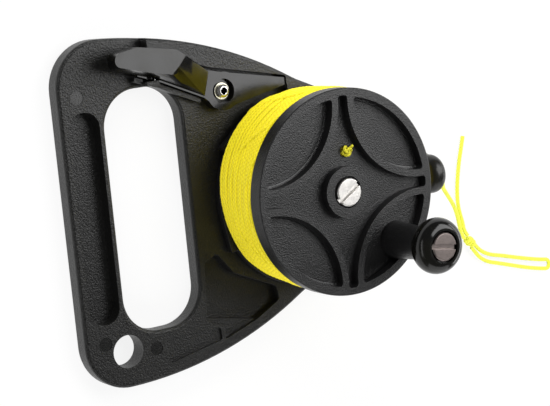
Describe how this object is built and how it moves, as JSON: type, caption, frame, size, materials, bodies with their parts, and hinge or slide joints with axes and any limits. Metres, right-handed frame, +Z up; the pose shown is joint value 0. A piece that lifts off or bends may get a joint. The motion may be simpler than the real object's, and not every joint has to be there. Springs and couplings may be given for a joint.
{
  "type": "hand-held line reel",
  "caption": "Hand-held line reel: a flat frame with a grip opening, a lever-locked spool turned by a crank knob, and braided line led through a guide on the nose.",
  "frame": {"origin": "under the middle of the reel's footprint, in the plane of the frame's flat back", "axes": "+Z up out of the frame's front, along the spool's axis; +X from the handle towards the line guide; +Y towards the stopper lever"},
  "size_m": [0.2204, 0.125, 0.0665],
  "materials": {
    "frame_plastic": "fine leather-like grain, matte black",
    "spool_plastic": "satin moulded black",
    "gloss_plastic": "glossy moulded black",
    "washer_plastic": "natural white low-friction plastic",
    "steel": "turned stainless steel",
    "brass": "turned brass",
    "line": "braided bright yellow line"
  },
  "bodies": {
    "frame": {"frame": "frame_plastic", "lever_insert": "brass", "lever_bush": "brass", "lever_washer": "steel", "lever_screw": "steel", "lever_spring": "steel", "axle_bolt": "steel", "axle_sleeve": "steel", "front_washer": "steel", "rear_washer": "washer_plastic", "axle_nut": "steel", "line_guide": "gloss_plastic", "guide_screw": "steel", "line_lead": "line", "line_free": "line", "line_tag": "line", "line_loop": "line", "line_knot": "line"},
    "lever": {"stopper_lever": "gloss_plastic"},
    "spool": {"spool_rear_flange": "spool_plastic", "spool_front_flange": "spool_plastic", "line_core": "line", "line_winding": "line", "anchor_knot": "line", "knob_screw": "steel", "knob_insert": "brass"},
    "knob": {"crank_knob": "gloss_plastic"}
  },
  "joints": [
    {"name": "lever_pivot", "type": "hinge", "parent": "frame", "child": "lever", "pos_m": [-0.0131, 0.0386, 0.01], "axis": [0, 0, 1], "range_deg": [-5.5, 0], "deforming": ["lever_spring"]},
    {"name": "spool_spin", "type": "hinge", "parent": "frame", "child": "spool", "pos_m": [0.0181, -0.0015, 0.02], "axis": [0, 0, 1], "continuous": true},
    {"name": "knob_spin", "type": "hinge", "parent": "spool", "child": "knob", "pos_m": [0.03989, -0.02299, 0.06], "axis": [0, 0, 1], "continuous": true}
  ]
}
